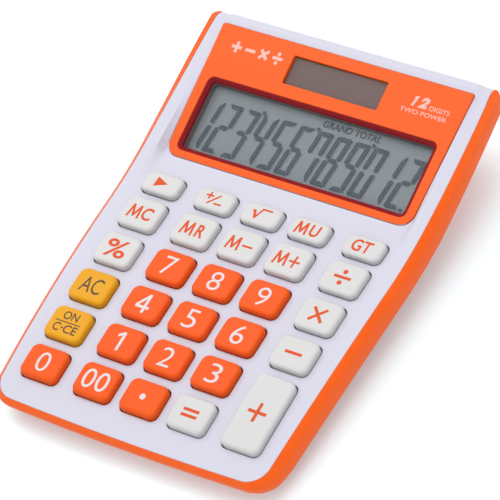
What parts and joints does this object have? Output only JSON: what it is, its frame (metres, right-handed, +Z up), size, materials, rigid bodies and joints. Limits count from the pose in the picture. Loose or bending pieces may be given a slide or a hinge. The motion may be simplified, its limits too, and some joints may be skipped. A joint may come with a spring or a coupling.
{
  "type": "desk calculator",
  "caption": "Compact desk calculator with a tilted display panel, solar window, sloping keypad of travelling keys and a wedge-shaped battery housing underneath.",
  "frame": {"origin": "on the desk under the middle of the body", "axes": "+X to the user's right, +Y from the user towards the display, +Z up"},
  "size_m": [0.1056, 0.1398, 0.0301],
  "materials": {
    "shell_white": "satin moulded ABS, faintly lavender white",
    "shell_orange": "satin moulded ABS, orange",
    "key_orange": "satin moulded key caps, orange",
    "key_amber": "satin moulded key caps, amber",
    "key_cream": "satin moulded key caps, warm white",
    "panel_orange": "semi-gloss printed panel, orange",
    "dark_red": "satin moulded frame, dark red",
    "clear_plastic": "clear polished acrylic",
    "lcd_grey": "grey-green liquid crystal glass",
    "solar_cell": "dark amorphous solar cell",
    "frame_white": "unfinished moulded white plastic",
    "rubber_grey": "matt silicone rubber",
    "board_green": "solder-masked circuit board",
    "black_resin": "matt black resin and sleeves",
    "steel": "plated steel",
    "wire_red": "red wire insulation",
    "wire_white": "white wire insulation",
    "film_amber": "flexible film",
    "foot_black": "matt rubber pads"
  },
  "bodies": {
    "case": {"top_case": "shell_white", "bottom_case": "shell_orange", "display_panel": "panel_orange", "window_frame": "dark_red", "display_lens": "clear_plastic", "solar_window": "clear_plastic", "lcd_glass": "lcd_grey", "lcd_holder": "frame_white", "solar_cell": "solar_cell", "rubber_keypad": "rubber_grey", "main_board": "board_green", "chip_cover": "black_resin", "capacitor": "black_resin", "lcd_flex": "film_amber", "button_cell": "steel", "contact_plus": "steel", "contact_minus": "steel", "battery_lead_red": "wire_red", "battery_lead_black": "black_resin", "solar_lead": "wire_white", "case_screw_1": "steel", "case_screw_2": "steel", "case_screw_3": "steel", "case_screw_4": "steel", "case_screw_5": "steel", "case_screw_6": "steel", "foot_front_left": "foot_black", "foot_front_right": "foot_black", "foot_rear_left": "foot_black", "foot_rear_right": "foot_black"},
    "battery_cover": {"battery_cover": "shell_orange"},
    "key_0_cap": {"key_0": "key_orange"},
    "key_00_cap": {"key_00": "key_orange"},
    "key_point_cap": {"key_point": "key_orange"},
    "key_1_cap": {"key_1": "key_orange"},
    "key_2_cap": {"key_2": "key_orange"},
    "key_3_cap": {"key_3": "key_orange"},
    "key_4_cap": {"key_4": "key_orange"},
    "key_5_cap": {"key_5": "key_orange"},
    "key_6_cap": {"key_6": "key_orange"},
    "key_7_cap": {"key_7": "key_orange"},
    "key_8_cap": {"key_8": "key_orange"},
    "key_9_cap": {"key_9": "key_orange"},
    "key_on_clear_cap": {"key_on_clear": "key_amber"},
    "key_ac_cap": {"key_ac": "key_amber"},
    "key_equals_cap": {"key_equals": "key_cream"},
    "key_plus_cap": {"key_plus": "key_cream"},
    "key_minus_cap": {"key_minus": "key_cream"},
    "key_percent_cap": {"key_percent": "key_cream"},
    "key_multiply_cap": {"key_multiply": "key_cream"},
    "key_mc_cap": {"key_mc": "key_cream"},
    "key_mr_cap": {"key_mr": "key_cream"},
    "key_m_minus_cap": {"key_m_minus": "key_cream"},
    "key_m_plus_cap": {"key_m_plus": "key_cream"},
    "key_divide_cap": {"key_divide": "key_cream"},
    "key_backspace_cap": {"key_backspace": "key_cream"},
    "key_sign_cap": {"key_sign": "key_cream"},
    "key_root_cap": {"key_root": "key_cream"},
    "key_mu_cap": {"key_mu": "key_cream"},
    "key_gt_cap": {"key_gt": "key_cream"}
  },
  "joints": [
    {"name": "battery_cover_slide", "type": "slide", "parent": "case", "child": "battery_cover", "axis": [0, 1, 0], "range_m": [0, 0.016]},
    {"name": "key_0_press", "type": "slide", "parent": "case", "child": "key_0_cap", "axis": [0, -0.0872, 0.9962], "range_m": [-0.0015, 0], "stiffness_N_per_m": 400},
    {"name": "key_00_press", "type": "slide", "parent": "case", "child": "key_00_cap", "axis": [0, -0.0872, 0.9962], "range_m": [-0.0015, 0], "stiffness_N_per_m": 400},
    {"name": "key_point_press", "type": "slide", "parent": "case", "child": "key_point_cap", "axis": [0, -0.0872, 0.9962], "range_m": [-0.0015, 0], "stiffness_N_per_m": 400},
    {"name": "key_1_press", "type": "slide", "parent": "case", "child": "key_1_cap", "axis": [0, -0.0872, 0.9962], "range_m": [-0.0015, 0], "stiffness_N_per_m": 400},
    {"name": "key_2_press", "type": "slide", "parent": "case", "child": "key_2_cap", "axis": [0, -0.0872, 0.9962], "range_m": [-0.0015, 0], "stiffness_N_per_m": 400},
    {"name": "key_3_press", "type": "slide", "parent": "case", "child": "key_3_cap", "axis": [0, -0.0872, 0.9962], "range_m": [-0.0015, 0], "stiffness_N_per_m": 400},
    {"name": "key_4_press", "type": "slide", "parent": "case", "child": "key_4_cap", "axis": [0, -0.0872, 0.9962], "range_m": [-0.0015, 0], "stiffness_N_per_m": 400},
    {"name": "key_5_press", "type": "slide", "parent": "case", "child": "key_5_cap", "axis": [0, -0.0872, 0.9962], "range_m": [-0.0015, 0], "stiffness_N_per_m": 400},
    {"name": "key_6_press", "type": "slide", "parent": "case", "child": "key_6_cap", "axis": [0, -0.0872, 0.9962], "range_m": [-0.0015, 0], "stiffness_N_per_m": 400},
    {"name": "key_7_press", "type": "slide", "parent": "case", "child": "key_7_cap", "axis": [0, -0.0872, 0.9962], "range_m": [-0.0015, 0], "stiffness_N_per_m": 400},
    {"name": "key_8_press", "type": "slide", "parent": "case", "child": "key_8_cap", "axis": [0, -0.0872, 0.9962], "range_m": [-0.0015, 0], "stiffness_N_per_m": 400},
    {"name": "key_9_press", "type": "slide", "parent": "case", "child": "key_9_cap", "axis": [0, -0.0872, 0.9962], "range_m": [-0.0015, 0], "stiffness_N_per_m": 400},
    {"name": "key_on_clear_press", "type": "slide", "parent": "case", "child": "key_on_clear_cap", "axis": [0, -0.0872, 0.9962], "range_m": [-0.0015, 0], "stiffness_N_per_m": 400},
    {"name": "key_ac_press", "type": "slide", "parent": "case", "child": "key_ac_cap", "axis": [0, -0.0872, 0.9962], "range_m": [-0.0015, 0], "stiffness_N_per_m": 400},
    {"name": "key_equals_press", "type": "slide", "parent": "case", "child": "key_equals_cap", "axis": [0, -0.0872, 0.9962], "range_m": [-0.0015, 0], "stiffness_N_per_m": 400},
    {"name": "key_plus_press", "type": "slide", "parent": "case", "child": "key_plus_cap", "axis": [0, -0.0872, 0.9962], "range_m": [-0.0015, 0], "stiffness_N_per_m": 400},
    {"name": "key_minus_press", "type": "slide", "parent": "case", "child": "key_minus_cap", "axis": [0, -0.0872, 0.9962], "range_m": [-0.0015, 0], "stiffness_N_per_m": 400},
    {"name": "key_percent_press", "type": "slide", "parent": "case", "child": "key_percent_cap", "axis": [0, -0.0872, 0.9962], "range_m": [-0.0015, 0], "stiffness_N_per_m": 400},
    {"name": "key_multiply_press", "type": "slide", "parent": "case", "child": "key_multiply_cap", "axis": [0, -0.0872, 0.9962], "range_m": [-0.0015, 0], "stiffness_N_per_m": 400},
    {"name": "key_mc_press", "type": "slide", "parent": "case", "child": "key_mc_cap", "axis": [0, -0.0872, 0.9962], "range_m": [-0.0015, 0], "stiffness_N_per_m": 400},
    {"name": "key_mr_press", "type": "slide", "parent": "case", "child": "key_mr_cap", "axis": [0, -0.0872, 0.9962], "range_m": [-0.0015, 0], "stiffness_N_per_m": 400},
    {"name": "key_m_minus_press", "type": "slide", "parent": "case", "child": "key_m_minus_cap", "axis": [0, -0.0872, 0.9962], "range_m": [-0.0015, 0], "stiffness_N_per_m": 400},
    {"name": "key_m_plus_press", "type": "slide", "parent": "case", "child": "key_m_plus_cap", "axis": [0, -0.0872, 0.9962], "range_m": [-0.0015, 0], "stiffness_N_per_m": 400},
    {"name": "key_divide_press", "type": "slide", "parent": "case", "child": "key_divide_cap", "axis": [0, -0.0872, 0.9962], "range_m": [-0.0015, 0], "stiffness_N_per_m": 400},
    {"name": "key_backspace_press", "type": "slide", "parent": "case", "child": "key_backspace_cap", "axis": [0, -0.0872, 0.9962], "range_m": [-0.0015, 0], "stiffness_N_per_m": 400},
    {"name": "key_sign_press", "type": "slide", "parent": "case", "child": "key_sign_cap", "axis": [0, -0.0872, 0.9962], "range_m": [-0.0015, 0], "stiffness_N_per_m": 400},
    {"name": "key_root_press", "type": "slide", "parent": "case", "child": "key_root_cap", "axis": [0, -0.0872, 0.9962], "range_m": [-0.0015, 0], "stiffness_N_per_m": 400},
    {"name": "key_mu_press", "type": "slide", "parent": "case", "child": "key_mu_cap", "axis": [0, -0.0872, 0.9962], "range_m": [-0.0015, 0], "stiffness_N_per_m": 400},
    {"name": "key_gt_press", "type": "slide", "parent": "case", "child": "key_gt_cap", "axis": [0, -0.0872, 0.9962], "range_m": [-0.0015, 0], "stiffness_N_per_m": 400}
  ]
}
